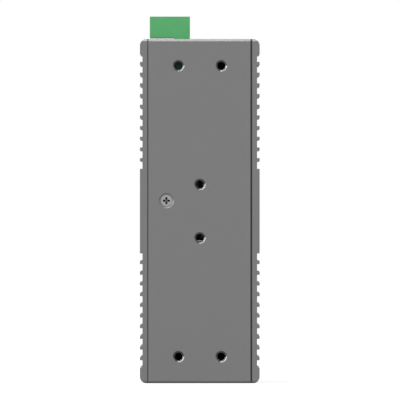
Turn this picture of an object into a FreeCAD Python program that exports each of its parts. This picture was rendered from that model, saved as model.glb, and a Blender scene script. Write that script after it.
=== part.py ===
import FreeCAD, Part
import os

# A network switch for a control cabinet: a flat metal case with ribbed side covers, a pull-off
# terminal plug on its top, and ports in its front panel.
# All sizes are in millimetres. +Z is up, the ports face -Y and the mounting wall faces +Y.
# The origin is the middle of the base. Left means +X, as seen from behind.
# Threads are drawn plain, at their pitch diameter.

# How far cutting shapes run past the surface they cut, and joined shapes into each other
overrun = 1.0

# How near an edge lies to the face that it is picked by
pick_tolerance = 0.001

# Case
case_width = 56.0
case_height = 161.0
case_depth = 118.0
edge_chamfer = 1.05
frame_wall = 3.0
frame_inner_radius = 3.0
left_seam = 0.4
right_seam = 0.8

# Side covers
cover_wall = 3.5
cover_corner_radius = 3.1
rib_count = 10
rib_pitch = 5.0
rib_width = 1.6
rib_height = 1.2
rib_bevel = 0.2
middle_block = 39.6

# Hooked rails that hold the covers on the frame
lip_thickness = 1.2
lip_height = 1.6
hook_thickness = 1.4
hook_clearance = 0.1

# Tongues on the covers, which close the seams behind the rear wall
tongue_thickness = 1.5
tongue_overlap = 1.5
tongue_clearance = 0.1

# Board guides on the left cover
guide_web = 1.5
guide_lip = 1.0
guide_grip = 2.5
guide_clearance = 0.15
guide_end_gap = 2.0

# Threads and screws
fit_clearance = 0.02
m3_radius = 1.34
m3_hole_radius = 1.65
m3_head_radius = 2.65
m4_radius = 1.77
recess_span = 3.3
recess_bar = 0.95
recess_depth = 1.2
recess_taper = 0.45
screw_sink = 0.3
thread_spare = 0.5

# Front panel
panel_thickness = 2.0
panel_side_gap = 0.15
panel_screw_length = 9.0
panel_screw_edge = 5.5
panel_lug_width = 8.0
panel_lug_length = 9.5
panel_lug_margin = 4.0
cutout_clearance = 0.2

# Mounting holes in the rear wall
corner_hole_width = 20.0
corner_hole_height = 136.0
middle_hole_height = 25.0
mount_mouth_radius = 2.72

# Rear screw, which holds the heat spreader
rear_screw_inset = 12.4
rear_screw_rise = 4.9
rear_screw_length = 7.0
rear_screw_sink = 0.5
rear_mouth_radius = 3.55

# Main board, upright beside the left cover
board_inset = 15.35
board_thickness = 1.6
board_front_gap = 3.0
board_rear_gap = 6.5
board_bottom_gap = 6.0
board_top_gap = 6.0

# Copper port block
jack_stack_height = 25.3
jack_columns = 4
jack_pitch = 14.0
jack_side_wall = 0.5
jack_depth = 30.0
jack_recess = 0.2
jack_shield_wall = 0.25
jack_gap = 7.0
port_width = 11.9
port_height = 6.9
port_depth = 14.0
port_row_offset = 1.9
latch_width = 6.3
latch_height = 1.3
latch_key_width = 3.4
latch_key_height = 2.2
contact_count = 8
contact_pitch = 1.02
contact_width = 0.45
contact_thickness = 0.35
contact_reach = 2.0
contact_tip_depth = 4.0
comb_offset = 0.8
comb_lead = 0.5
window_width = 1.7
window_height = 1.5
window_length = 4.0
window_inset = 1.0

# Fibre module cages
cage_count = 2
cage_width = 14.25
cage_height = 9.8
cage_length = 48.7
cage_wall = 0.3
cage_recess = 0.2
cage_pitch = 17.0
cage_gap = 9.4
cage_clearance = 0.25
cage_floor_margin = 1.0
cage_floor_lead = 2.0
cage_latch_width = 3.0
cage_latch_length = 2.2
cage_latch_inset = 3.0
socket_width = 11.6
socket_height = 5.4
socket_length = 9.2
socket_slot_height = 1.6
socket_slot_width = 9.4
socket_slot_depth = 6.0
socket_rear_gap = 1.5

# Light pipes
pipe_width = 4.0
pipe_height = 2.0
pipe_inset = 6.65
pipe_count = 3
pipe_pitch = 7.0
pipe_top_drop = 14.5
pipe_turn_depth = 6.0
pipe_led_gap = 0.3
pipe_clearance = 0.05
led_width = 3.0
led_length = 1.6
led_height = 0.9

# Terminal header on the board
pole_count = 6
pole_pitch = 5.08
header_depth = 8.6
header_height = 12.0
header_wall = 0.9
header_end_margin = 3.8
header_floor = 3.0
header_mouth_drop = 0.3
pin_width = 1.0
pin_reach = 7.0
pin_tail_drop = 2.0
pin_tail_reach = 1.4
pin_hole_radius = 0.8

# Pull-off terminal plug
plug_rear_gap = 12.0
plug_body_width = 7.5
plug_overhang = 11.3
plug_rise = 10.6
plug_lift = 0.6
plug_body_gap = 0.15
plug_slot_clearance = 0.4
plug_nose_clearance = 0.3
plug_nose_length = 8.4
plug_end_margin = 2.54
wire_entry = 3.7
wire_entry_chamfer = 0.5
wire_entry_rise = 1.6
clamp_length = 7.0
clamp_width = 4.3
clamp_height = 5.6
clamp_wall = 0.7
clamp_from_face = 2.2
clamp_rise = 0.9
clamp_screw_radius = 1.75
clamp_screw_sink = 1.0
clamp_screw_slot = 0.6
clamp_screw_slot_depth = 0.8
driver_hole_radius = 1.95
contact_strip = 0.5
contact_strip_inset = 1.0
tine_width = 2.2
tine_thickness = 0.35
tine_clearance = 0.1
tine_end_gap = 0.8

# Switch chip and heat spreader
chip_width = 23.0
chip_height = 2.0
chip_rear_gap = 36.0
pad_thickness = 0.8
spreader_height = 27.0
spreader_length = 48.0
lug_thickness = 4.5
lug_reach = 4.4

# Other board parts
transformer_height = 6.0
transformer_length = 15.0
transformer_width = 12.4
transformer_gap = 7.0
transformer_edge = 0.6
control_chip_height = 1.4
control_chip_width = 10.0
control_chip_length = 14.0
control_chip_gap = 4.0
control_chip_count = 2
power_drop = 13.0
power_gap = 3.0
inductor_width = 10.0
inductor_height = 5.0
inductor_gap = 12.0
inductor_pitch = 14.0
inductor_count = 2
inductor_edge = 1.5
power_core_width = 17.0
power_core_length = 19.0
power_core_height = 13.0
power_bobbin_margin = 2.0
capacitor_radius = 4.0
capacitor_height = 16.0
capacitor_count = 2
capacitor_pitch = 12.0
relay_width = 10.0
relay_length = 20.0
relay_height = 10.5
relay_gap = 3.0

# Places worked out from the sizes above
V = FreeCAD.Vector
AXIS_X = V(1, 0, 0)
AXIS_Y = V(0, 1, 0)
AXIS_Z = V(0, 0, 1)
half_width = case_width / 2
front_y = -case_depth / 2
rear_y = case_depth / 2
mid_z = case_height / 2
cover_inner = half_width - cover_wall
tongue_end = frame_wall + frame_inner_radius + tongue_clearance
frame_left = cover_inner - left_seam
frame_right = right_seam - cover_inner
frame_front = front_y + panel_thickness
wall_inner_y = rear_y - frame_wall
ceiling_z = case_height - frame_wall
groove_width = rib_pitch - rib_width
board_face = half_width - board_inset
board_back = board_face + board_thickness
board_front = frame_front + board_front_gap
board_rear = wall_inner_y - board_rear_gap
board_bottom = frame_wall + board_bottom_gap
board_top = ceiling_z - board_top_gap
jack_width = jack_columns * jack_pitch + 2 * jack_side_wall
jack_right = board_face - jack_stack_height
jack_middle = board_face - jack_stack_height / 2
jack_front = front_y + jack_recess
pipe_middle = board_face - pipe_inset
pipe_top = case_height - pipe_top_drop
pipe_lowest = pipe_top - (pipe_count - 1) * pipe_pitch - pipe_width / 2
jack_centre = pipe_lowest - jack_gap - jack_width / 2
cage_front = front_y + cage_recess
cage_top = jack_centre - jack_width / 2 - cage_gap
plug_centre_x = board_face - header_depth / 2
plug_length = (pole_count - 1) * pole_pitch + 2 * plug_end_margin
plug_rear = rear_y - plug_rear_gap
plug_middle = plug_rear - plug_length / 2
header_top = ceiling_z - header_mouth_drop
header_bottom = header_top - header_height
header_length = (pole_count - 1) * pole_pitch + 2 * header_end_margin
plug_underside = case_height + plug_lift
plug_shoulder = header_top + plug_body_gap
nose_bottom = plug_shoulder - plug_nose_length
plug_top = case_height + plug_rise
plug_right = plug_centre_x - plug_body_width / 2
plug_step = plug_centre_x + plug_body_width / 2
plug_left = plug_step + plug_overhang
clamp_outer = plug_left - clamp_from_face
clamp_middle = clamp_outer - clamp_length / 2
clamp_bottom = plug_underside + clamp_rise
rear_screw_x = half_width - rear_screw_inset
rear_screw_z = mid_z + rear_screw_rise
chip_middle_y = rear_y - chip_rear_gap
spreader_face = board_back + chip_height + pad_thickness
transformer_rear = jack_front + jack_depth + transformer_gap + transformer_length
power_z = header_bottom - pin_tail_drop - power_drop


def box(xs, ys, zs):
    """A block between two x, two y and two z values, given in any order."""
    low = V(min(xs), min(ys), min(zs))
    return Part.makeBox(max(xs) - low.x, max(ys) - low.y, max(zs) - low.z, low)


def rod(radius, start, direction, length):
    return Part.makeCylinder(radius, length, start, direction)


def cone(start_radius, end_radius, start, direction, length):
    return Part.makeCone(start_radius, end_radius, length, start, direction)


def prism(points, travel):
    """A polygon swept along a straight line."""
    return Part.Face(Part.makePolygon(points + points[:1])).extrude(travel)


def join(shapes):
    return shapes[0].multiFuse(shapes[1:]).removeSplitter()


def aimed(shape, place, direction):
    """The shape with its own +Z turned to the direction and its origin at the place."""
    copy = shape.copy()
    copy.Placement = FreeCAD.Placement(place, FreeCAD.Rotation(AXIS_Z, direction))
    return copy


def save(node, shapes):
    solids = [solid for shape in shapes for solid in shape.Solids]
    shape = solids[0] if len(solids) == 1 else Part.makeCompound(solids)
    shape.exportStep("parts/" + node + ".step")


def pole_positions():
    first = plug_middle - (pole_count - 1) * pole_pitch / 2
    return [first + index * pole_pitch for index in range(pole_count)]


# Screws

def cross_recess(span, bar, depth):
    """Two crossed wings that narrow towards the bottom, with their mouth at z = 0."""
    half = span / 2
    foot = half * recess_taper
    profile = [V(-half, -bar / 2, 0), V(half, -bar / 2, 0),
               V(foot, -bar / 2, -depth), V(-foot, -bar / 2, -depth)]
    wing = prism(profile, V(0, bar, 0))
    crossing = wing.copy()
    crossing.rotate(V(0, 0, 0), AXIS_Z, 90)
    return wing.fuse(crossing)


def flat_head_screw(length):
    """A countersunk M3 screw: head at z = 0, shank down."""
    head_height = m3_head_radius - m3_radius
    head = cone(m3_head_radius, m3_radius, V(0, 0, 0), -AXIS_Z, head_height)
    shank = rod(m3_radius, V(0, 0, -head_height), -AXIS_Z, length - head_height)
    return join([head, shank]).cut(cross_recess(recess_span, recess_bar, recess_depth))


def countersink(place, direction, mouth_radius, wall):
    """A 90 degree mouth and a clearance hole through a wall; direction points out of the mouth."""
    depth = mouth_radius - m3_hole_radius
    mouth = cone(mouth_radius, m3_hole_radius, place, -direction, depth)
    return mouth.fuse(rod(m3_hole_radius, place, -direction, wall))


def seated_mouth(sink):
    """Mouth radius that lets a flat head seat the given depth under the face."""
    return m3_head_radius + sink


def tapped_hole(place, direction, depth):
    return rod(m3_radius + fit_clearance, place, -direction, depth)


# Screw places

def panel_screw_places():
    return [V(0, front_y, z) for z in (panel_screw_edge, case_height - panel_screw_edge)]


def mount_hole_places():
    """Centres of the six tapped holes on the rear face."""
    corners = [V(x, rear_y, mid_z + z)
               for x in (-corner_hole_width / 2, corner_hole_width / 2)
               for z in (-corner_hole_height / 2, corner_hole_height / 2)]
    middles = [V(0, rear_y, mid_z + z) for z in (-middle_hole_height / 2, middle_hole_height / 2)]
    return corners + middles


def rear_screw_place():
    return V(rear_screw_x, rear_y, rear_screw_z)


# Case

def end_bevels():
    """Wedges that bevel the top and bottom edges at both ends of the case."""
    wedges = []
    start = -half_width - overrun
    reach = edge_chamfer + overrun
    for y, inward in ((front_y, 1), (rear_y, -1)):
        for z, towards in ((0, 1), (case_height, -1)):
            corner = [V(start, y - inward * overrun, z - towards * overrun),
                      V(start, y + inward * reach, z - towards * overrun),
                      V(start, y - inward * overrun, z + towards * reach)]
            wedges.append(prism(corner, V(-2 * start, 0, 0)))
    return wedges


def groove_tool(centre_z):
    """One groove between two ribs of the left cover, full depth, with bevelled lips."""
    half = groove_width / 2
    outer = half_width
    low = centre_z - half
    high = centre_z + half
    start = front_y - overrun
    flare = rib_bevel + overrun
    outline = [V(outer + overrun, start, low - flare), V(outer - rib_bevel, start, low),
               V(outer - rib_height, start, low), V(outer - rib_height, start, high),
               V(outer - rib_bevel, start, high), V(outer + overrun, start, high + flare)]
    return prism(outline, V(0, case_depth + 2 * overrun, 0))


def cover_wall_shape():
    """The left cover's ribbed wall: ribs above and below a flat block, round outer corners."""
    wall = box((cover_inner, half_width), (front_y, rear_y), (0, case_height))
    corners = [edge for edge in wall.Edges
               if edge.BoundBox.YLength > case_depth / 2
               and edge.BoundBox.XMin > half_width - pick_tolerance]
    wall = wall.makeFillet(cover_corner_radius, corners)
    first = middle_block / 2 + groove_width / 2
    tools = [groove_tool(mid_z + way * (first + index * rib_pitch))
             for index in range(rib_count + 1) for way in (1, -1)]
    return wall.cut(tools)


def rail_end():
    """Where the rails inside the frame stop, clear of its rounded inner corners."""
    return wall_inner_y - frame_inner_radius


def cover_hooks(seam):
    """Two hooked rails on the left cover, which grip the lips along the frame's edges."""
    ys = (frame_front, rail_end())
    lip_inner = cover_inner - seam - lip_thickness
    hook_inner = lip_inner - hook_thickness
    hooks = []
    for z, way in ((ceiling_z, -1), (frame_wall, 1)):
        shelf_near = z + way * (lip_height + hook_clearance)
        shelf_far = shelf_near + way * hook_thickness
        hooks.append(box((hook_inner, cover_inner), ys, (shelf_near, shelf_far)))
        hooks.append(box((hook_inner, lip_inner), ys, (z + way * hook_clearance, shelf_far)))
    return hooks


def board_guides():
    """Two slotted rails on the left cover that the board slides into; the top one stops at the header."""
    top_end = plug_middle - header_length / 2 - guide_end_gap
    guides = []
    for edge, way, end in ((board_top, 1, top_end), (board_bottom, -1, rail_end())):
        ys = (frame_front, end)
        near = edge + way * guide_clearance
        far = near + way * guide_web
        inner = board_face - guide_clearance - guide_lip
        outer = board_back + guide_clearance
        tip = edge - way * guide_grip
        guides.append(box((inner, cover_inner), ys, (near, far)))
        guides.append(box((inner, inner + guide_lip), ys, (tip, far)))
        guides.append(box((outer, outer + guide_lip), ys, (tip, far)))
    return guides


def seam_tongue(seam, grow):
    """An upright strip on the left cover, close behind the rear wall's edge; grow enlarges it."""
    rear = wall_inner_y - tongue_clearance
    return box((cover_inner - seam - tongue_overlap - grow, cover_inner),
               (rear - tongue_thickness - grow, rear + grow),
               (tongue_end, case_height - tongue_end))


def seam_webs(seam):
    """Short webs on the left cover that fill the seam above and below its tongue."""
    rear = wall_inner_y - tongue_clearance
    return [box((cover_inner - seam + fit_clearance, cover_inner), (rear - tongue_thickness, rear), zs)
            for zs in ((0, tongue_end), (case_height - tongue_end, case_height))]


def seam_cover(seam, extras):
    """The left cover's wall with its rails, tongue and webs for the given seam."""
    rails = cover_hooks(seam) + seam_webs(seam) + extras
    return join([cover_wall_shape(), seam_tongue(seam, 0)] + rails).cut(end_bevels())


def left_side_cover():
    return seam_cover(left_seam, board_guides())


def right_side_cover():
    return seam_cover(right_seam, []).mirror(V(0, 0, 0), AXIS_X)


def frame_shell():
    """The bent wall of the case: base, rear wall and top in one piece."""
    width = (frame_right, frame_left)
    outside = box(width, (frame_front, rear_y), (0, case_height))
    inside = box((frame_right - overrun, frame_left + overrun), (frame_front - overrun, wall_inner_y),
                 (frame_wall, ceiling_z))
    corners = [edge for edge in inside.Edges
               if edge.BoundBox.XLength > half_width
               and edge.BoundBox.YMin > wall_inner_y - pick_tolerance]
    return outside.cut(inside.makeFillet(frame_inner_radius, corners))


def frame_lips():
    """Lips along the frame's four open edges, which the covers' hooks grip."""
    ys = (frame_front, wall_inner_y)
    edges = ((frame_left, -1), (frame_right, 1))
    walls = ((ceiling_z, -1), (frame_wall, 1))
    return [box((x, x + inward * lip_thickness), ys, (z - way, z + way * lip_height))
            for x, inward in edges for z, way in walls]


def panel_lugs():
    """Square lugs at the frame's front edge for the panel screws."""
    lugs = []
    for place, way in zip(panel_screw_places(), (-1, 1)):
        wall = place.z + way * (panel_screw_edge - frame_wall + overrun)
        lugs.append(box((-panel_lug_width / 2, panel_lug_width / 2),
                        (frame_front, frame_front + panel_lug_length),
                        (wall, place.z - way * panel_lug_margin)))
    return lugs


def rear_frame():
    cuts = end_bevels()
    panel_hole_depth = panel_screw_length - panel_thickness + thread_spare
    for place in panel_screw_places():
        seat = V(place.x, frame_front, place.z)
        cuts.append(tapped_hole(seat, -AXIS_Y, panel_hole_depth))
    mouth_depth = mount_mouth_radius - m4_radius
    for place in mount_hole_places():
        cuts.append(rod(m4_radius, place, -AXIS_Y, frame_wall))
        cuts.append(cone(mount_mouth_radius, m4_radius, place, -AXIS_Y, mouth_depth))
    cuts.append(rear_screw_seat())
    cuts.append(plug_slot())
    return join([frame_shell()] + frame_lips() + panel_lugs()).cut(cuts)


def rear_screw_seat():
    """A shallow dish in the rear wall, with a seat for the screw's flat head in its floor."""
    place = rear_screw_place()
    dish = cone(rear_mouth_radius, rear_mouth_radius - rear_screw_sink, place, -AXIS_Y, rear_screw_sink)
    seat = countersink(place - AXIS_Y * rear_screw_sink, AXIS_Y, m3_head_radius, frame_wall)
    return dish.fuse(seat)


def plug_slot():
    """Slot in the top wall that the plug goes down through."""
    gap = plug_slot_clearance
    half = plug_length / 2 + gap
    return box((plug_right - gap, plug_step + gap), (plug_middle - half, plug_middle + half),
               (ceiling_z - overrun, case_height + overrun))


def front_panel():
    half = cover_inner - panel_side_gap
    plate = box((-half, half), (front_y, frame_front), (0, case_height))
    cuts = end_bevels()
    mouth = seated_mouth(screw_sink)
    cuts += [countersink(place, -AXIS_Y, mouth, panel_thickness) for place in panel_screw_places()]
    across = (front_y - overrun, frame_front + overrun)
    gap = cutout_clearance
    cuts.append(box((jack_right - gap, board_face + gap), across,
                    (jack_centre - jack_width / 2 - gap, jack_centre + jack_width / 2 + gap)))
    gap = cage_clearance
    for z in cage_centres():
        cuts.append(box((board_face - cage_height - gap, board_face + gap), across,
                        (z - cage_width / 2 - gap, z + cage_width / 2 + gap)))
    cuts += [pipe_bar(z, pipe_clearance, frame_front + overrun) for z in pipe_heights()]
    return plate.cut(cuts)


def front_panel_screws():
    screw = flat_head_screw(panel_screw_length)
    return [aimed(screw, place + AXIS_Y * screw_sink, -AXIS_Y) for place in panel_screw_places()]


def rear_screw():
    place = rear_screw_place() - AXIS_Y * rear_screw_sink
    return [aimed(flat_head_screw(rear_screw_length), place, AXIS_Y)]


# Main board

def main_board():
    board = box((board_face, board_back), (board_front, board_rear), (board_bottom, board_top))
    starts = [V(board_face - overrun, y, header_bottom - pin_tail_drop) for y in pole_positions()]
    cuts = [rod(pin_hole_radius, start, AXIS_X, board_thickness + 2 * overrun) for start in starts]
    return board.cut(cuts)


def switch_chip():
    half = chip_width / 2
    return box((board_back, board_back + chip_height), (chip_middle_y - half, chip_middle_y + half),
               (rear_screw_z - half, rear_screw_z + half))


def thermal_pad():
    half = chip_width / 2
    return box((board_back + chip_height, spreader_face), (chip_middle_y - half, chip_middle_y + half),
               (rear_screw_z - half, rear_screw_z + half))


def heat_spreader():
    """A block from the chip to the left cover, with a lug that the rear screw pulls to the wall."""
    lug_right = rear_screw_x - lug_reach
    lug_front = wall_inner_y - lug_thickness
    block_front = wall_inner_y - spreader_length
    outline = [V(spreader_face, block_front), V(cover_inner, block_front), V(cover_inner, wall_inner_y),
               V(lug_right, wall_inner_y), V(lug_right, lug_front), V(spreader_face, lug_front)]
    block = prism(outline, V(0, 0, spreader_height))
    block.translate(V(0, 0, rear_screw_z - spreader_height / 2))
    tap = tapped_hole(V(rear_screw_x, wall_inner_y, rear_screw_z), AXIS_Y, lug_thickness)
    return block.cut([tap, seam_tongue(left_seam, tongue_clearance)])


def on_board(height, length, width, y, z):
    """A block on the component face: height off the board, length along Y, width along Z."""
    return box((board_face - height, board_face), (y - length / 2, y + length / 2),
               (z - width / 2, z + width / 2))


def top_edges(shape):
    """The edges of a board part that lie in its face away from the board."""
    low = shape.BoundBox.XMin
    return [edge for edge in shape.Edges if edge.BoundBox.XMax < low + pick_tolerance]


def jack_column_centres():
    first = jack_centre - (jack_columns - 1) * jack_pitch / 2
    return [first + index * jack_pitch for index in range(jack_columns)]


def lan_transformers():
    y = transformer_rear - transformer_length / 2
    blocks = [on_board(transformer_height, transformer_length, transformer_width, y, z)
              for z in jack_column_centres()]
    return [block.makeChamfer(transformer_edge, top_edges(block)) for block in blocks]


def control_chips():
    pitch = control_chip_width + control_chip_gap
    first = rear_screw_z - (control_chip_count - 1) * pitch / 2
    return [on_board(control_chip_height, control_chip_length, control_chip_width, chip_middle_y,
                     first + index * pitch)
            for index in range(control_chip_count)]


def power_inductors():
    blocks = []
    y = plug_rear - inductor_width / 2
    first = power_z - capacitor_radius - inductor_gap - inductor_width / 2
    for index in range(inductor_count):
        z = first - index * inductor_pitch
        block = on_board(inductor_height, inductor_width, inductor_width, y, z)
        upright = [edge for edge in block.Edges if edge.BoundBox.XLength > inductor_height / 2]
        blocks.append(block.makeChamfer(inductor_edge, upright))
    return blocks


def power_transformer():
    """A ferrite core over a wider winding former."""
    y = plug_rear - plug_length - power_gap - power_core_length / 2
    margin = 2 * power_bobbin_margin
    core = on_board(power_core_height, power_core_length, power_core_width, y, power_z)
    former = on_board(power_core_height - margin, power_core_length + margin,
                      power_core_width - margin, y, power_z)
    return join([core, former])


def capacitors():
    """Can capacitors standing on the board."""
    first = plug_rear - capacitor_radius
    return [rod(capacitor_radius, V(board_face, first - index * capacitor_pitch, power_z), -AXIS_X,
                capacitor_height)
            for index in range(capacitor_count)]


def alarm_relay():
    y = transformer_rear + relay_gap + relay_length / 2
    z = power_z - power_core_width / 2 - power_gap - relay_width / 2
    return on_board(relay_height, relay_length, relay_width, y, z)


# Copper ports

def port_rows():
    """Side of each row of ports: 1 is the row by the board, -1 is the row away from it."""
    return (1, -1)


def port_opening(row, z, back):
    """One port: plug space with a stepped latch slot on the row's outer side."""
    near = jack_middle + row * port_row_offset
    far = near + row * port_height
    ys = (jack_front - overrun, back)
    body = box((near, far), ys, (z - port_width / 2, z + port_width / 2))
    latch = box((near, far + row * latch_height), ys, (z - latch_width / 2, z + latch_width / 2))
    key = box((near, far + row * latch_key_height), ys, (z - latch_key_width / 2, z + latch_key_width / 2))
    return join([body, latch, key])


def all_ports():
    return [(row, z) for row in port_rows() for z in jack_column_centres()]


def window_boxes(extra):
    """Lamp windows, two to a port, at the corners beside the latch slot."""
    windows = []
    for row, z in all_ports():
        far = jack_middle + row * (jack_stack_height / 2 - window_inset)
        for way in (1, -1):
            edge = z + way * port_width / 2
            windows.append(box((far + row * extra, far - row * (window_height + extra)),
                               (jack_front - extra, jack_front + window_length),
                               (edge + way * extra, edge - way * (window_width + extra))))
    return windows


def contact_slots():
    """Combs behind each port's inner wall that the contact wires spring into."""
    reach = (contact_count - 1) * contact_pitch / 2 + contact_width
    ys = (jack_front + contact_tip_depth - comb_lead, jack_front + port_depth)
    far = port_row_offset + overrun
    return [box((jack_middle + row * comb_offset, jack_middle + row * far), ys, (z - reach, z + reach))
            for row, z in all_ports()]


def jack_housing():
    wall = jack_shield_wall
    half = jack_width / 2
    block = box((jack_right + wall, board_face), (jack_front + wall, jack_front + jack_depth - wall),
                (jack_centre - half + wall, jack_centre + half - wall))
    cuts = [port_opening(row, z, jack_front + port_depth) for row, z in all_ports()]
    return block.cut(cuts + contact_slots() + window_boxes(0))


def jack_shield():
    """A folded shell over the port block, open on the board's side."""
    wall = jack_shield_wall
    half = jack_width / 2
    outside = box((jack_right, board_face), (jack_front, jack_front + jack_depth),
                  (jack_centre - half, jack_centre + half))
    inside = box((jack_right + wall, board_face + overrun),
                 (jack_front + wall, jack_front + jack_depth - wall),
                 (jack_centre - half + wall, jack_centre + half - wall))
    openings = [port_opening(row, z, jack_front + 2 * wall) for row, z in all_ports()]
    return outside.cut([inside] + openings + window_boxes(0))


def jack_contacts():
    """Flat spring wires that slope from the comb by the mouth to the back of the plug space."""
    wires = []
    start = jack_front + contact_tip_depth
    back = jack_front + port_depth
    low = port_row_offset - contact_thickness
    high = port_row_offset + contact_reach
    for row, z in all_ports():
        profile = [V(jack_middle + row * low, start, 0),
                   V(jack_middle + row * (low + contact_thickness), start, 0),
                   V(jack_middle + row * high, back, 0),
                   V(jack_middle + row * (high - contact_thickness), back, 0)]
        for index in range(contact_count):
            middle = z + (index - (contact_count - 1) / 2) * contact_pitch
            wire = prism(profile, V(0, 0, contact_width))
            wire.translate(V(0, 0, middle - contact_width / 2))
            wires.append(wire)
    return wires


# Fibre module cages

def cage_centres():
    first = cage_top - cage_width / 2
    return [first - index * cage_pitch for index in range(cage_count)]


def sfp_cages():
    cages = []
    half = cage_width / 2
    inner = half - cage_wall
    rear = cage_front + cage_length - cage_wall
    low_x = board_face - cage_height
    through_floor = (board_face - overrun, board_face + overrun)
    gap_start = rear - socket_rear_gap - socket_length - cage_floor_lead
    gap_half = half - cage_floor_margin
    latch_start = cage_front + cage_latch_inset
    for z in cage_centres():
        outside = box((low_x, board_face), (cage_front, cage_front + cage_length), (z - half, z + half))
        inside = box((low_x + cage_wall, board_face - cage_wall), (cage_front - overrun, rear),
                     (z - inner, z + inner))
        floor_gap = box(through_floor, (gap_start, rear), (z - gap_half, z + gap_half))
        latch = box(through_floor, (latch_start, latch_start + cage_latch_length),
                    (z - cage_latch_width / 2, z + cage_latch_width / 2))
        cages.append(outside.cut([inside, floor_gap, latch]))
    return cages


def sfp_connectors():
    """Edge connectors on the board at the back of each cage."""
    sockets = []
    rear = cage_front + cage_length - cage_wall - socket_rear_gap
    middle = board_face - socket_height / 2
    for z in cage_centres():
        body = box((board_face - socket_height, board_face), (rear - socket_length, rear),
                   (z - socket_width / 2, z + socket_width / 2))
        slot = box((middle - socket_slot_height / 2, middle + socket_slot_height / 2),
                   (rear - socket_length - overrun, rear - socket_length + socket_slot_depth),
                   (z - socket_slot_width / 2, z + socket_slot_width / 2))
        sockets.append(body.cut(slot))
    return sockets


# Status lights

def pipe_heights():
    return [pipe_top - index * pipe_pitch for index in range(pipe_count)]


def pipe_bar(z, grow, end):
    """The straight bar of one light pipe, grown on every side for its cut-out."""
    half_x = pipe_height / 2 + grow
    half_z = pipe_width / 2 + grow
    return box((pipe_middle - half_x, pipe_middle + half_x), (front_y - grow, end),
               (z - half_z, z + half_z))


def light_pipes():
    """Clear bars from the panel that turn to the lamps on the board, with a sloped face at the turn."""
    turn = frame_front + pipe_turn_depth
    near = pipe_middle - pipe_height / 2
    far = pipe_middle + pipe_height / 2
    foot = board_face - led_height - pipe_led_gap
    outline = [V(near, front_y, 0), V(far, front_y, 0), V(far, turn - pipe_height, 0),
               V(foot, turn - pipe_height, 0), V(foot, turn, 0), V(far, turn, 0),
               V(near, turn - pipe_height, 0)]
    pipes = []
    for z in pipe_heights():
        pipe = prism(outline, V(0, 0, pipe_width))
        pipe.translate(V(0, 0, z - pipe_width / 2))
        pipes.append(pipe)
    return pipes


def board_leds():
    y = frame_front + pipe_turn_depth - pipe_height / 2
    return [on_board(led_height, led_length, led_width, y, z) for z in pipe_heights()]


# Terminal header and plug

def header_nose_space(margin):
    """The plug's nose and the header's well share one outline; margin grows it."""
    half_x = header_depth / 2 - header_wall - plug_nose_clearance + margin
    half_y = plug_length / 2 - plug_nose_clearance + margin
    return half_x, half_y


def terminal_header():
    half = header_length / 2
    body = box((board_face - header_depth, board_face), (plug_middle - half, plug_middle + half),
               (header_bottom, header_top))
    half_x, half_y = header_nose_space(plug_nose_clearance)
    well = box((plug_centre_x - half_x, plug_centre_x + half_x),
               (plug_middle - half_y, plug_middle + half_y),
               (header_bottom + header_floor, header_top + overrun))
    side = pin_width / 2 + fit_clearance
    pin_ways = [box((plug_centre_x - side, plug_centre_x + side), (y - side, y + side),
                    (header_bottom - overrun, header_bottom + header_floor + overrun))
                for y in pole_positions()]
    return body.cut([well] + pin_ways)


def header_pins():
    """Square pins: up into the header's well, and back through the board."""
    pins = []
    side = pin_width / 2
    bend_z = header_bottom - pin_tail_drop
    for y in pole_positions():
        upright = box((plug_centre_x - side, plug_centre_x + side), (y - side, y + side),
                      (bend_z - side, header_bottom + header_floor + pin_reach))
        tail = box((plug_centre_x - side, board_back + pin_tail_reach), (y - side, y + side),
                   (bend_z - side, bend_z + side))
        pins.append(join([upright, tail]))
    return pins


def clamp_block(y, grow):
    """Outside of one wire clamp, grown on every side for its pocket."""
    return box((clamp_outer - clamp_length - grow, clamp_outer + grow),
               (y - clamp_width / 2 - grow, y + clamp_width / 2 + grow),
               (clamp_bottom - grow, clamp_bottom + clamp_height + grow))


def contact_strip_box(y, grow):
    """The flat strip of one plug contact, from the clamp's floor to above the pin."""
    half = pin_width / 2 + tine_clearance + tine_thickness + grow
    low = clamp_bottom + clamp_wall
    xs = (plug_centre_x - tine_width / 2 - grow, clamp_outer - contact_strip_inset + grow)
    return box(xs, (y - half, y + half), (low - grow, low + contact_strip + grow))


def contact_shape(y):
    """One plug contact: the strip, and two tines that straddle the pin."""
    inner = pin_width / 2 + tine_clearance
    outer = inner + tine_thickness
    xs = (plug_centre_x - tine_width / 2, plug_centre_x + tine_width / 2)
    zs = (nose_bottom + tine_end_gap, clamp_bottom + clamp_wall)
    tines = [box(xs, (y + way * inner, y + way * outer), zs) for way in (1, -1)]
    return join([contact_strip_box(y, 0)] + tines)


def contact_pocket(y):
    """The way through the plug's nose that holds the tines and lets the pin in from below."""
    half_x = tine_width / 2 + fit_clearance
    half_y = pin_width / 2 + tine_clearance + tine_thickness + fit_clearance
    return box((plug_centre_x - half_x, plug_centre_x + half_x), (y - half_y, y + half_y),
               (nose_bottom - overrun, clamp_bottom + clamp_wall))


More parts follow.
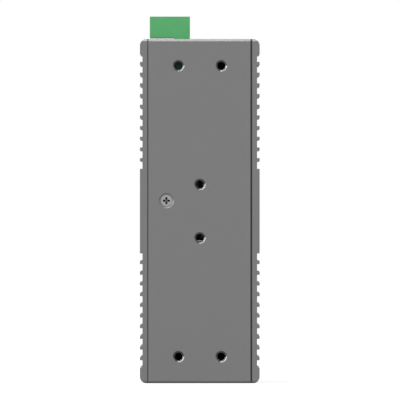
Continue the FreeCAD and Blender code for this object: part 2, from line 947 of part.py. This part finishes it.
def plug_housing():
    low_y = plug_middle - plug_length / 2
    outline = [V(plug_right, low_y, plug_shoulder), V(plug_step, low_y, plug_shoulder),
               V(plug_step, low_y, plug_underside), V(plug_left, low_y, plug_underside),
               V(plug_left, low_y, plug_top), V(plug_right, low_y, plug_top)]
    body = prism(outline, V(0, plug_length, 0))
    half_x, half_y = header_nose_space(0)
    nose = box((plug_centre_x - half_x, plug_centre_x + half_x),
               (plug_middle - half_y, plug_middle + half_y), (nose_bottom, plug_underside))
    cuts = []
    for y in pole_positions():
        cuts += [clamp_block(y, fit_clearance), contact_strip_box(y, fit_clearance), contact_pocket(y)]
        cuts += wire_entry_cuts(y)
        driver_start = V(clamp_middle, y, clamp_bottom + clamp_height)
        cuts.append(rod(driver_hole_radius, driver_start, AXIS_Z, plug_rise))
    return join([body, nose]).cut(cuts)


def wire_entry_cuts(y):
    """A square way in for the wire, with a bevelled mouth, on the plug's left face."""
    half = wire_entry / 2
    z = plug_underside + wire_entry_rise + half
    straight = box((clamp_outer - overrun, plug_left + overrun), (y - half, y + half),
                   (z - half, z + half))
    bevel = wire_entry_chamfer
    wide = half + bevel
    mouth = Part.makeWedge(-half, 0, -half, -wide, -wide, half, bevel, half, wide, wide)
    turn = FreeCAD.Rotation(AXIS_X, AXIS_Z, -AXIS_Y)
    mouth.Placement = FreeCAD.Placement(V(plug_left - bevel, y, z), turn)
    return [straight, mouth]


def plug_clamp_cages():
    """Square tubes with a hole in their top, where the screw comes in."""
    cages = []
    inner = clamp_width / 2 - clamp_wall
    gap = clamp_screw_radius + fit_clearance
    across = (clamp_outer - clamp_length - overrun, clamp_outer + overrun)
    floor = clamp_bottom + clamp_wall
    roof = clamp_bottom + clamp_height - clamp_wall
    for y in pole_positions():
        inside = box(across, (y - inner, y + inner), (floor, roof))
        opening = box((clamp_middle - gap, clamp_middle + gap), (y - gap, y + gap),
                      (roof - overrun, roof + clamp_wall + overrun))
        cages.append(clamp_block(y, 0).cut([inside, opening]))
    return cages


def plug_clamp_screws():
    """Slotted headless screws, sunk in the driver holes."""
    screws = []
    top = plug_top - clamp_screw_sink
    foot = clamp_bottom + clamp_height - clamp_wall
    reach = clamp_screw_radius + overrun
    half = clamp_screw_slot / 2
    for y in pole_positions():
        body = rod(clamp_screw_radius, V(clamp_middle, y, foot), AXIS_Z, top - foot)
        slot = box((clamp_middle - reach, clamp_middle + reach), (y - half, y + half),
                   (top - clamp_screw_slot_depth, top + overrun))
        screws.append(body.cut(slot))
    return screws


def plug_contacts():
    return [contact_shape(y) for y in pole_positions()]


os.makedirs("parts", exist_ok=True)
save("rear_frame", [rear_frame()])
save("left_side_cover", [left_side_cover()])
save("right_side_cover", [right_side_cover()])
save("front_panel", [front_panel()])
save("front_panel_screws", front_panel_screws())
save("rear_screw", rear_screw())
save("main_board", [main_board()])
save("switch_chip", [switch_chip()])
save("thermal_pad", [thermal_pad()])
save("heat_spreader", [heat_spreader()])
save("lan_transformers", lan_transformers())
save("control_chips", control_chips())
save("power_inductors", power_inductors())
save("power_transformer", [power_transformer()])
save("capacitors", capacitors())
save("alarm_relay", [alarm_relay()])
save("jack_housing", [jack_housing()])
save("jack_shield", [jack_shield()])
save("jack_contacts", jack_contacts())
save("jack_windows", window_boxes(0))
save("sfp_cages", sfp_cages())
save("sfp_connectors", sfp_connectors())
save("light_pipes", light_pipes())
save("board_leds", board_leds())
save("terminal_header", [terminal_header()])
save("header_pins", header_pins())
save("plug_housing", [plug_housing()])
save("plug_clamp_cages", plug_clamp_cages())
save("plug_clamp_screws", plug_clamp_screws())
save("plug_contacts", plug_contacts())
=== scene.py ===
import math

import bmesh
import bpy
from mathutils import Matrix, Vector


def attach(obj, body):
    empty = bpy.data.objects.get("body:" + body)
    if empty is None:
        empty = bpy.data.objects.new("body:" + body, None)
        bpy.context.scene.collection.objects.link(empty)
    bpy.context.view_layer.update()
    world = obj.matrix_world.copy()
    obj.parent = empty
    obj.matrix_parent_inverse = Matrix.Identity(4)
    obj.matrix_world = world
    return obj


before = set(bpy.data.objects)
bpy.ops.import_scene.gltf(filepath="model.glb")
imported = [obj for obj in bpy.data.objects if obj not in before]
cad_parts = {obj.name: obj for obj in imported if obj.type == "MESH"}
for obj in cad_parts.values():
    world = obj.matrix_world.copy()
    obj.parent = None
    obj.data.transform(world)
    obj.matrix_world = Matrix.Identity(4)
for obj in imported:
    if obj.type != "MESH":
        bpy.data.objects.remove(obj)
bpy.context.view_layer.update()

# The looks of a cabinet network switch, seen from behind, as in the photograph.
# All sizes are in metres. +Z is up, the ports face -Y and the mounting wall faces +Y.

# Camera: level, square to the rear wall, from far away with a long lens. The picture's width is
# what it takes in at the rear wall, and the sensor's width is in millimetres.
camera_gap = 8.32
camera_near = 0.1
camera_far = 20.0
picture_width = 0.18705
sensor_width = 36.0
aim_x = -0.0001
aim_z = 0.0857

# Fan of lamps from overhead down to the left: degrees above the floor and strength of each,
# how far the fan leans to the camera's side, and how wide each lamp is in degrees
fan_lights = ((90.0, 1.15), (72.0, 0.7), (54.0, 0.8), (36.0, 0.9), (18.0, 0.9), (1.0, 0.9))
fan_lean = 0.12
fan_width = 14.0

# Other lamps: where the light comes from, its strength on a surface that faces it, and how wide
# the lamp is in degrees
front_light = ((-0.35, -0.86, 0.37), 1.8, 85.0)
fill_light = ((0.15, 0.95, 0.28), 0.552, 40.0)
right_light = ((-0.90, 0.05, 0.43), 0.8, 60.0)

# White surroundings, and their strength where they light the object
white = (1.0, 1.0, 1.0)
ambient_strength = 0.41

# Floor: its brightness where it lights the object and where it is seen, and the share of plain
# white in the floor that is seen
floor_albedo = 0.3
floor_seen_albedo = 0.9
floor_glow = 0.8
floor_radius = 3.0
floor_sides = 96

# Case
rear_y = 0.059
middle_z = 0.0805
wall_thickness = 0.003
cover_inner_x = 0.0245

# Mounting holes: how far they lie from the middle, and their bevelled mouths
corner_hole_x = 0.010
corner_hole_z = 0.068
middle_hole_z = 0.0125
mouth_radius = 0.00272
mouth_depth = 0.00095

# Screws: how far they lie from the middle, and how far from it their heads' faces are along Y
rear_screw_x = 0.0156
rear_screw_z = 0.0049
rear_screw_face = 0.0585
panel_screw_x = 0.0
panel_screw_z = 0.075
panel_screw_face = 0.0587

# Threads in the mounting holes: how far the ridge's root is sunk into the bore's wall, the share
# of the pitch that half the root takes, and the steps in one turn
bore_radius = 0.00177
crest_radius = 0.00168
root_sink = 0.00003
thread_pitch = 0.0007
half_root_share = 0.4
thread_steps = 28

# Margins: round an edge for what counts as inside it, off a face for what counts as the face,
# and under a screw's face before its recess starts
edge_margin = 0.00001
face_margin = 0.00003
recess_margin = 0.00012

# Noise: the low and high ends of its usual values, and how many finer noises lie on top of it
noise_low = 0.3
noise_high = 0.7
fine_detail = 2.0
patch_detail = 3.0

# Height of the relief where a surface is left plain
plain_height = 0.5

# Powder coat: its colours, the sizes of its patches, specks and orange peel, and the peel's depth
paint_dark = (0.160, 0.160, 0.161)
paint_light = (0.165, 0.165, 0.166)
paint_speck = (0.168, 0.168, 0.169)
paint_patch = 0.009
paint_speck_size = 0.0004
paint_peel = 0.0006
paint_peel_depth = 0.000015
paint_roughness = (0.33, 0.42)

# Painted shade on the covers' inner faces, so that the seams look dark
inner_painted_shade = (0.03, 0.03, 0.031)

# Bare steel in the mounting holes, darkened as painted shade in their mouths and bores
shaded_bare_dark = (0.13, 0.13, 0.132)
shaded_bare_light = (0.15, 0.15, 0.152)
bare_patch = 0.0003
bare_roughness = 0.26

# Plated screws, and the painted shade in their recess: its grey from the middle to the ends of
# its arms, and how far out it starts and stops changing
plating_dark = (0.20, 0.20, 0.204)
plating_light = (0.25, 0.25, 0.254)
plating_patch = 0.0012
plating_grain = 0.0002
plating_depth = 0.000006
plating_roughness = (0.34, 0.46)
recess_shade_greys = (0.09, 0.003)
recess_reach = (0.0004, 0.001)

# Clear plastic with a milky haze
milky_dark = (0.70, 0.74, 0.72)
milky_light = (0.80, 0.83, 0.81)
milky_haze = 0.0008
milky_haze_depth = 0.00001
milky_roughness = (0.2, 0.32)
milky_ior = 1.49
milky_transmission = 0.35

# Board: solder mask over a glass weave, with copper tracks along the joints of a brick pattern
mask_dark = (0.014, 0.11, 0.045)
mask_light = (0.02, 0.15, 0.06)
mask_roughness = (0.2, 0.32)
weave_size = 0.0005
weave_stretch = (1.0, 1.0, 3.0)
track_color = (0.035, 0.22, 0.09)
track_scale = 120.0
track_width = 0.03
track_softness = 0.2
track_depth = 0.00003

# Plain surfaces: colour, how much it varies in patches, the patches' size, the grain's size and
# depth, the lowest and highest roughness, 1 for metal, and the grain's stretch along each axis
even = (1.0, 1.0, 1.0)
surfaces = {
    "green_polyamide": ((0.077, 0.41, 0.135), 0.03, 0.006, 0.00016, 0.000006, (0.42, 0.54), 0.0, even),
    "header_polyamide": ((0.035, 0.16, 0.058), 0.03, 0.006, 0.00016, 0.000006, (0.42, 0.54), 0.0, even),
    "black_moulded": ((0.018, 0.018, 0.019), 0.08, 0.006, 0.00016, 0.000006, (0.46, 0.6), 0.0, even),
    "chip_resin": ((0.028, 0.028, 0.029), 0.1, 0.006, 0.00016, 0.000006, (0.5, 0.62), 0.0, even),
    "relay_case": ((0.68, 0.67, 0.60), 0.03, 0.006, 0.00016, 0.000006, (0.3, 0.4), 0.0, even),
    "lamp_resin": ((0.80, 0.80, 0.70), 0.02, 0.006, 0.00016, 0.000006, (0.25, 0.35), 0.0, even),
    "silicone_pad": ((0.36, 0.42, 0.52), 0.05, 0.003, 0.0003, 0.00001, (0.6, 0.75), 0.0, even),
    "sintered_ferrite": ((0.06, 0.06, 0.062), 0.12, 0.002, 0.0002, 0.00002, (0.55, 0.7), 0.0, even),
    "gold_plating": ((0.85, 0.62, 0.25), 0.04, 0.002, 0.0001, 0.000003, (0.18, 0.28), 1.0, even),
    "zinc_plated_steel": ((0.42, 0.42, 0.43), 0.06, 0.0012, 0.0002, 0.000006, (0.32, 0.48), 1.0, even),
    "bright_screw_steel": ((0.34, 0.34, 0.34), 0.06, 0.0012, 0.0002, 0.000006, (0.52, 0.62), 1.0, even),
    # Cut thread steel, darkened as painted shade for threads deep in the holes
    "shaded_cut_thread": ((0.10, 0.10, 0.10), 0.08, 0.002, 0.00015, 0.000004, (0.35, 0.45), 1.0, even),
    "tinned_sheet": ((0.48, 0.48, 0.47), 0.05, 0.004, 0.0002, 0.000006, (0.3, 0.42), 1.0,
                     (1.0, 8.0, 1.0)),
    "drawn_can": ((0.68, 0.68, 0.70), 0.03, 0.004, 0.0002, 0.000004, (0.25, 0.35), 1.0,
                  (20.0, 1.0, 1.0)),
    "milled_aluminium": ((0.72, 0.72, 0.73), 0.04, 0.012, 0.00015, 0.000008, (0.3, 0.45), 1.0,
                         (1.0, 1.0, 20.0)),
}

# The nodes that each plain surface dresses
surface_nodes = {
    "green_polyamide": ("plug_housing",),
    "header_polyamide": ("terminal_header",),
    "black_moulded": ("jack_housing", "sfp_connectors"),
    "chip_resin": ("switch_chip", "lan_transformers", "control_chips"),
    "relay_case": ("alarm_relay",),
    "lamp_resin": ("board_leds",),
    "silicone_pad": ("thermal_pad",),
    "sintered_ferrite": ("power_inductors", "power_transformer"),
    "gold_plating": ("jack_contacts",),
    "zinc_plated_steel": ("plug_clamp_cages",),
    "bright_screw_steel": ("plug_clamp_screws",),
    "tinned_sheet": ("jack_shield", "sfp_cages", "header_pins", "plug_contacts"),
    "drawn_can": ("capacitors",),
    "milled_aluminium": ("heat_spreader",),
}

# Sockets of a mix node, by number because several share a name: first, second and result
number_sockets = (2, 3, 0)
color_sockets = (6, 7, 2)


# Node helpers

def new_material(name):
    material = bpy.data.materials.new(name)
    material.use_nodes = True
    tree = material.node_tree
    return material, tree, tree.nodes["Principled BSDF"]


def feed(tree, socket, value):
    """Gives a socket another node's output, a colour or a number."""
    if isinstance(value, bpy.types.NodeSocket):
        tree.links.new(value, socket)
    elif isinstance(value, tuple):
        socket.default_value = (*value, 1.0)
    else:
        socket.default_value = value


def object_point(tree, stretch=even):
    """The point on the part, with each axis divided by its stretch."""
    coordinates = tree.nodes.new("ShaderNodeTexCoord")
    mapping = tree.nodes.new("ShaderNodeMapping")
    mapping.inputs["Scale"].default_value = [1.0 / value for value in stretch]
    tree.links.new(coordinates.outputs["Object"], mapping.inputs["Vector"])
    return mapping.outputs["Vector"]


def noise(tree, grain, detail=fine_detail, stretch=even):
    """A noise with spots about the size of the grain."""
    node = tree.nodes.new("ShaderNodeTexNoise")
    node.inputs["Scale"].default_value = 1.0 / grain
    node.inputs["Detail"].default_value = detail
    tree.links.new(object_point(tree, stretch), node.inputs["Vector"])
    return node.outputs["Fac"]


def spread(tree, value, low, high, start=noise_low, end=noise_high):
    """The value, which runs from start to end, carried over to run from low to high."""
    node = tree.nodes.new("ShaderNodeMapRange")
    node.inputs["From Min"].default_value = start
    node.inputs["From Max"].default_value = end
    node.inputs["To Min"].default_value = low
    node.inputs["To Max"].default_value = high
    tree.links.new(value, node.inputs["Value"])
    return node.outputs["Result"]


def blend(tree, factor, first, second, data_type, sockets):
    node = tree.nodes.new("ShaderNodeMix")
    node.data_type = data_type
    first_socket, second_socket, result = sockets
    feed(tree, node.inputs[first_socket], first)
    feed(tree, node.inputs[second_socket], second)
    tree.links.new(factor, node.inputs["Factor"])
    return node.outputs[result]


def blend_colors(tree, factor, first, second):
    """A colour between two, where each is a colour or another node's output."""
    return blend(tree, factor, first, second, "RGBA", color_sockets)


def blend_numbers(tree, factor, first, second):
    """A number between two, where each is a number or another node's output."""
    return blend(tree, factor, first, second, "FLOAT", number_sockets)


def math_node(tree, operation, first, second=0.0):
    node = tree.nodes.new("ShaderNodeMath")
    node.operation = operation
    feed(tree, node.inputs[0], first)
    feed(tree, node.inputs[1], second)
    return node.outputs["Value"]


def relief(tree, shader, height, depth):
    """Surface relief from a height that runs from 0 to 1."""
    node = tree.nodes.new("ShaderNodeBump")
    node.inputs["Distance"].default_value = depth
    tree.links.new(height, node.inputs["Height"])
    tree.links.new(node.outputs["Normal"], shader.inputs["Normal"])


def shade(color, factor):
    return tuple(value * factor for value in color)


def surface(name):
    """A plain surface: slow colour patches, and a fine grain in its roughness and relief."""
    color, change, patch, grain, depth, roughness, metallic, stretch = surfaces[name]
    material, tree, shader = new_material(name)
    slow = spread(tree, noise(tree, patch, patch_detail), 0.0, 1.0)
    fine = noise(tree, grain, fine_detail, stretch)
    mixed = blend_colors(tree, slow, shade(color, 1.0 - change), shade(color, 1.0 + change))
    tree.links.new(mixed, shader.inputs["Base Color"])
    tree.links.new(spread(tree, fine, *roughness), shader.inputs["Roughness"])
    relief(tree, shader, fine, depth)
    shader.inputs["Metallic"].default_value = metallic
    return material


# Places on the part

def place_axes(tree):
    """The point's place along each axis, by the axis's name."""
    axes = tree.nodes.new("ShaderNodeSeparateXYZ")
    tree.links.new(object_point(tree), axes.inputs["Vector"])
    return axes.outputs


def mirrored_place(tree):
    """How far a point lies from the part's middle, across and up, and its place along Y."""
    place = place_axes(tree)
    across = math_node(tree, "ABSOLUTE", place["X"])
    up = math_node(tree, "ABSOLUTE", math_node(tree, "SUBTRACT", place["Z"], middle_z))
    return across, up, place["Y"]


def distance_to_axis(tree, across, up, axis_across, axis_up):
    """How far the point lies from a hole's axis, in a view along Y."""
    side = math_node(tree, "SUBTRACT", across, axis_across)
    rise = math_node(tree, "SUBTRACT", up, axis_up)
    side_squared = math_node(tree, "MULTIPLY", side, side)
    rise_squared = math_node(tree, "MULTIPLY", rise, rise)
    return math_node(tree, "SQRT", math_node(tree, "ADD", side_squared, rise_squared))


def in_rear_wall(tree, along):
    """1 within the rear wall's thickness, 0 on its two faces and elsewhere."""
    below_face = math_node(tree, "LESS_THAN", along, rear_y - face_margin)
    in_wall = math_node(tree, "GREATER_THAN", along, rear_y - wall_thickness + face_margin)
    return math_node(tree, "MULTIPLY", below_face, in_wall)


def bare_shaded_hole_mask(tree):
    """1 in the six mounting holes' mouths and bores (bare steel and painted shade), 0 on the paint."""
    across, up, along = mirrored_place(tree)
    corner = distance_to_axis(tree, across, up, corner_hole_x, corner_hole_z)
    middle = distance_to_axis(tree, across, up, 0.0, middle_hole_z)
    nearest = math_node(tree, "MINIMUM", corner, middle)
    near = math_node(tree, "LESS_THAN", nearest, mouth_radius + edge_margin)
    return math_node(tree, "MULTIPLY", near, in_rear_wall(tree, along))


# Paint

def powder_coat(name):
    """A material for grey powder coat, with its mottled colour and the height of its peel."""
    material, tree, shader = new_material(name)
    mottle = spread(tree, noise(tree, paint_patch, patch_detail), 0.0, 1.0)
    speck = spread(tree, noise(tree, paint_speck_size), 0.0, 1.0)
    broad = blend_colors(tree, mottle, paint_dark, paint_light)
    color = blend_colors(tree, speck, broad, paint_speck)
    peel = noise(tree, paint_peel)
    return material, tree, shader, color, peel


def lay_coat(tree, shader, color, peel):
    tree.links.new(color, shader.inputs["Base Color"])
    tree.links.new(spread(tree, peel, *paint_roughness), shader.inputs["Roughness"])
    relief(tree, shader, peel, paint_peel_depth)


def panel_paint():
    material, tree, shader, color, peel = powder_coat("panel_powder_coat")
    lay_coat(tree, shader, color, peel)
    return material


def cover_paint():
    """Powder coat outside, and painted shade (near black) on the faces that turn into the case."""
    material, tree, shader, color, peel = powder_coat("cover_powder_coat")
    across = math_node(tree, "ABSOLUTE", place_axes(tree)["X"])
    # Painted shade: faces that turn into the case go near black, which darkens the seams
    inside = math_node(tree, "LESS_THAN", across, cover_inner_x + edge_margin)
    lay_coat(tree, shader, blend_colors(tree, inside, color, inner_painted_shade), peel)
    return material


def frame_paint():
    """Powder coat, with dark bare steel as painted shade in the holes' mouths and bores."""
    material, tree, shader, color, peel = powder_coat("frame_powder_coat")
    # Bare steel in the holes, its darkness painted shade
    mask = bare_shaded_hole_mask(tree)
    bare = blend_colors(tree, noise(tree, bare_patch), shaded_bare_dark, shaded_bare_light)
    painted = spread(tree, peel, *paint_roughness)
    tree.links.new(blend_colors(tree, mask, color, bare), shader.inputs["Base Color"])
    tree.links.new(mask, shader.inputs["Metallic"])
    tree.links.new(blend_numbers(tree, mask, painted, bare_roughness), shader.inputs["Roughness"])
    relief(tree, shader, blend_numbers(tree, mask, peel, plain_height), paint_peel_depth)
    return material


# Screws

def recess_painted_shade(tree, across, up, screw_across, screw_up):
    """Painted shade: a grey that darkens from the recess's middle to the ends of its arms."""
    reach = distance_to_axis(tree, across, up, screw_across, screw_up)
    grey = spread(tree, reach, *recess_shade_greys, *recess_reach)
    node = tree.nodes.new("ShaderNodeCombineColor")
    for channel in ("Red", "Green", "Blue"):
        tree.links.new(grey, node.inputs[channel])
    return node.outputs["Color"]


def screw_steel(name, screw_face, screw_across, screw_up):
    """Zinc plated steel, with painted shade in the recess of its head."""
    material, tree, shader = new_material(name)
    across, up, along = mirrored_place(tree)
    depth = math_node(tree, "ABSOLUTE", along)
    inside = math_node(tree, "LESS_THAN", depth, screw_face - recess_margin)
    patches = noise(tree, plating_patch, patch_detail)
    plating = blend_colors(tree, patches, plating_dark, plating_light)
    # Painted shade in the recess, below the head's face
    recess = recess_painted_shade(tree, across, up, screw_across, screw_up)
    tree.links.new(blend_colors(tree, inside, plating, recess), shader.inputs["Base Color"])
    fine = noise(tree, plating_grain)
    tree.links.new(spread(tree, fine, *plating_roughness), shader.inputs["Roughness"])
    shader.inputs["Metallic"].default_value = 1.0
    relief(tree, shader, fine, plating_depth)
    return material


# Lamp windows and board

def milky_plastic():
    """Clear plastic with a milky haze, so that an unlit lamp window still shows."""
    material, tree, shader = new_material("milky_moulded")
    haze = noise(tree, milky_haze)
    color = blend_colors(tree, haze, milky_dark, milky_light)
    tree.links.new(color, shader.inputs["Base Color"])
    tree.links.new(spread(tree, haze, *milky_roughness), shader.inputs["Roughness"])
    shader.inputs["IOR"].default_value = milky_ior
    shader.inputs["Transmission Weight"].default_value = milky_transmission
    relief(tree, shader, haze, milky_haze_depth)
    return material


def board_tracks(tree):
    """Lines of tracks in the board's plane: 1 on a track, 0 beside it."""
    turned = tree.nodes.new("ShaderNodeMapping")
    turned.inputs["Rotation"].default_value = (0.0, math.pi / 2, 0.0)
    tree.links.new(object_point(tree), turned.inputs["Vector"])
    tracks = tree.nodes.new("ShaderNodeTexBrick")
    tracks.inputs["Scale"].default_value = track_scale
    tracks.inputs["Mortar Size"].default_value = track_width
    tracks.inputs["Mortar Smooth"].default_value = track_softness
    tree.links.new(turned.outputs["Vector"], tracks.inputs["Vector"])
    return tracks.outputs["Fac"]


def board_laminate():
    """Solder mask over copper tracks and a glass weave."""
    material, tree, shader = new_material("solder_mask")
    tracks = board_tracks(tree)
    weave = noise(tree, weave_size, fine_detail, weave_stretch)
    mask = blend_colors(tree, weave, mask_dark, mask_light)
    color = blend_colors(tree, tracks, mask, track_color)
    tree.links.new(color, shader.inputs["Base Color"])
    tree.links.new(spread(tree, weave, *mask_roughness), shader.inputs["Roughness"])
    relief(tree, shader, tracks, track_depth)
    return material


# The nodes' materials

def dress(material, *nodes):
    """Puts one material on every face of the named nodes."""
    for name in nodes:
        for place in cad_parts[name].material_slots:
            place.material = material


def dress_nodes():
    dress(frame_paint(), "rear_frame")
    dress(cover_paint(), "left_side_cover", "right_side_cover")
    dress(panel_paint(), "front_panel")
    rear_plating = screw_steel("rear_screw_plating", rear_screw_face, rear_screw_x, rear_screw_z)
    dress(rear_plating, "rear_screw")
    panel_plating = screw_steel("panel_screw_plating", panel_screw_face, panel_screw_x, panel_screw_z)
    dress(panel_plating, "front_panel_screws")
    dress(board_laminate(), "main_board")
    dress(milky_plastic(), "jack_windows", "light_pipes")
    for name, nodes in surface_nodes.items():
        dress(surface(name), *nodes)


# Threads in the mounting holes

def hole_centres():
    corners = [Vector((x, rear_y, middle_z + z))
               for x in (-corner_hole_x, corner_hole_x) for z in (-corner_hole_z, corner_hole_z)]
    middles = [Vector((0.0, rear_y, middle_z + z)) for z in (-middle_hole_z, middle_hole_z)]
    return corners + middles


def thread_ring(centre, angle, down, root, peak, half_root):
    """The ridge cut across at one angle: its root, its crest and its root again."""
    side = Vector((math.cos(angle), 0.0, math.sin(angle)))
    return [centre + side * root - Vector((0.0, down - half_root, 0.0)),
            centre + side * peak - Vector((0.0, down, 0.0)),
            centre + side * root - Vector((0.0, down + half_root, 0.0))]


def thread_rings(centre):
    """Cuts across the ridge, from the mouth's foot to the wall's inner face."""
    root = bore_radius + root_sink
    half_root = thread_pitch * half_root_share
    fade_steps = thread_steps / 3
    start = mouth_depth + half_root
    turns = (wall_thickness - mouth_depth - 2 * half_root) / thread_pitch
    count = int(turns * thread_steps)
    rings = []
    for step in range(count + 1):
        angle = 2 * math.pi * step / thread_steps
        down = start + thread_pitch * step / thread_steps
        fade = min(1.0, step / fade_steps, (count - step) / fade_steps)
        peak = root + (crest_radius - root) * fade
        rings.append(thread_ring(centre, angle, down, root, peak, half_root))
    return rings


def add_thread(mesh, centre):
    """One ridge that winds down a hole's bore and fades out at both ends."""
    rings = [[mesh.verts.new(point) for point in ring] for ring in thread_rings(centre)]
    for first, second in zip(rings, rings[1:]):
        for index in range(3):
            following = (index + 1) % 3
            mesh.faces.new((first[index], second[index], second[following], first[following]))
    mesh.faces.new(rings[0])
    mesh.faces.new(list(reversed(rings[-1])))


def finish_piece(name, mesh, material, body):
    """Turns a mesh under construction into a piece that rides on a body."""
    bmesh.ops.recalc_face_normals(mesh, faces=mesh.faces)
    data = bpy.data.meshes.new(name)
    mesh.to_mesh(data)
    mesh.free()
    data.materials.append(material)
    piece = bpy.data.objects.new(name, data)
    bpy.context.scene.collection.objects.link(piece)
    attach(piece, body)


def mount_hole_threads():
    mesh = bmesh.new()
    for centre in hole_centres():
        add_thread(mesh, centre)
    # The threads' near-black steel is painted shade
    finish_piece("mount_hole_threads", mesh, surface("shaded_cut_thread"), "case")


# Studio

def make_camera():
    data = bpy.data.cameras.new("camera")
    data.type = "PERSP"
    data.sensor_width = sensor_width
    data.lens = sensor_width * camera_gap / picture_width
    data.clip_start = camera_near
    data.clip_end = camera_far
    camera = bpy.data.objects.new("camera", data)
    camera.location = (aim_x, rear_y + camera_gap, aim_z)
    camera.rotation_euler = (math.pi / 2, 0.0, math.pi)
    bpy.context.scene.collection.objects.link(camera)
    bpy.context.scene.camera = camera


def make_sun(name, direction, strength, width):
    data = bpy.data.lights.new(name, "SUN")
    data.energy = strength
    data.angle = math.radians(width)
    lamp = bpy.data.objects.new(name, data)
    lamp.rotation_euler = Vector(direction).to_track_quat("Z", "Y").to_euler()
    bpy.context.scene.collection.objects.link(lamp)


def make_fan():
    for degrees, strength in fan_lights:
        angle = math.radians(degrees)
        make_sun("fan", (math.cos(angle), fan_lean, math.sin(angle)), strength, fan_width)


def make_lamps():
    make_fan()
    make_sun("front", *front_light)
    make_sun("fill", *fill_light)
    make_sun("right", *right_light)


def seen_directly(tree):
    """1 for rays from the camera, and for rays that come off gloss or through glass."""
    path = tree.nodes.new("ShaderNodeLightPath")
    glossy = path.outputs["Is Glossy Ray"]
    through = path.outputs["Is Transmission Ray"]
    shiny = math_node(tree, "MAXIMUM", glossy, through)
    return math_node(tree, "MAXIMUM", path.outputs["Is Camera Ray"], shiny)


def make_world():
    world = bpy.data.worlds.new("studio")
    world.use_nodes = True
    tree = world.node_tree
    backdrop = tree.nodes["Background"]
    feed(tree, backdrop.inputs["Color"], white)
    strength = spread(tree, seen_directly(tree), ambient_strength, 1.0, 0.0, 1.0)
    tree.links.new(strength, backdrop.inputs["Strength"])
    bpy.context.scene.world = world


def blend_shaders(tree, factor, first, second):
    node = tree.nodes.new("ShaderNodeMixShader")
    tree.links.new(factor, node.inputs[0])
    tree.links.new(first, node.inputs[1])
    tree.links.new(second, node.inputs[2])
    return node.outputs["Shader"]


def floor_material():
    """Pale floor that shows white where it is lit and keeps the shadow; clear from below."""
    material = bpy.data.materials.new("pale_floor")
    material.use_nodes = True
    tree = material.node_tree
    tree.nodes.clear()
    seen = seen_directly(tree)
    matt = tree.nodes.new("ShaderNodeBsdfDiffuse")
    pale = blend_colors(tree, seen, (floor_albedo,) * 3, (floor_seen_albedo,) * 3)
    tree.links.new(pale, matt.inputs["Color"])
    glow = tree.nodes.new("ShaderNodeEmission")
    glow_share = math_node(tree, "MULTIPLY", seen, floor_glow)
    lit = blend_shaders(tree, glow_share, matt.outputs["BSDF"], glow.outputs["Emission"])
    clear = tree.nodes.new("ShaderNodeBsdfTransparent")
    from_below = tree.nodes.new("ShaderNodeNewGeometry").outputs["Backfacing"]
    output = tree.nodes.new("ShaderNodeOutputMaterial")
    sided = blend_shaders(tree, from_below, lit, clear.outputs["BSDF"])
    tree.links.new(sided, output.inputs["Surface"])
    return material


def make_floor():
    mesh = bmesh.new()
    bmesh.ops.create_circle(mesh, cap_ends=True, radius=floor_radius, segments=floor_sides)
    data = bpy.data.meshes.new("floor")
    mesh.to_mesh(data)
    mesh.free()
    data.materials.append(floor_material())
    floor = bpy.data.objects.new("floor", data)
    bpy.context.scene.collection.objects.link(floor)


bpy.context.scene.view_settings.view_transform = "Standard"
make_camera()
make_world()
make_lamps()
make_floor()
dress_nodes()
mount_hole_threads()
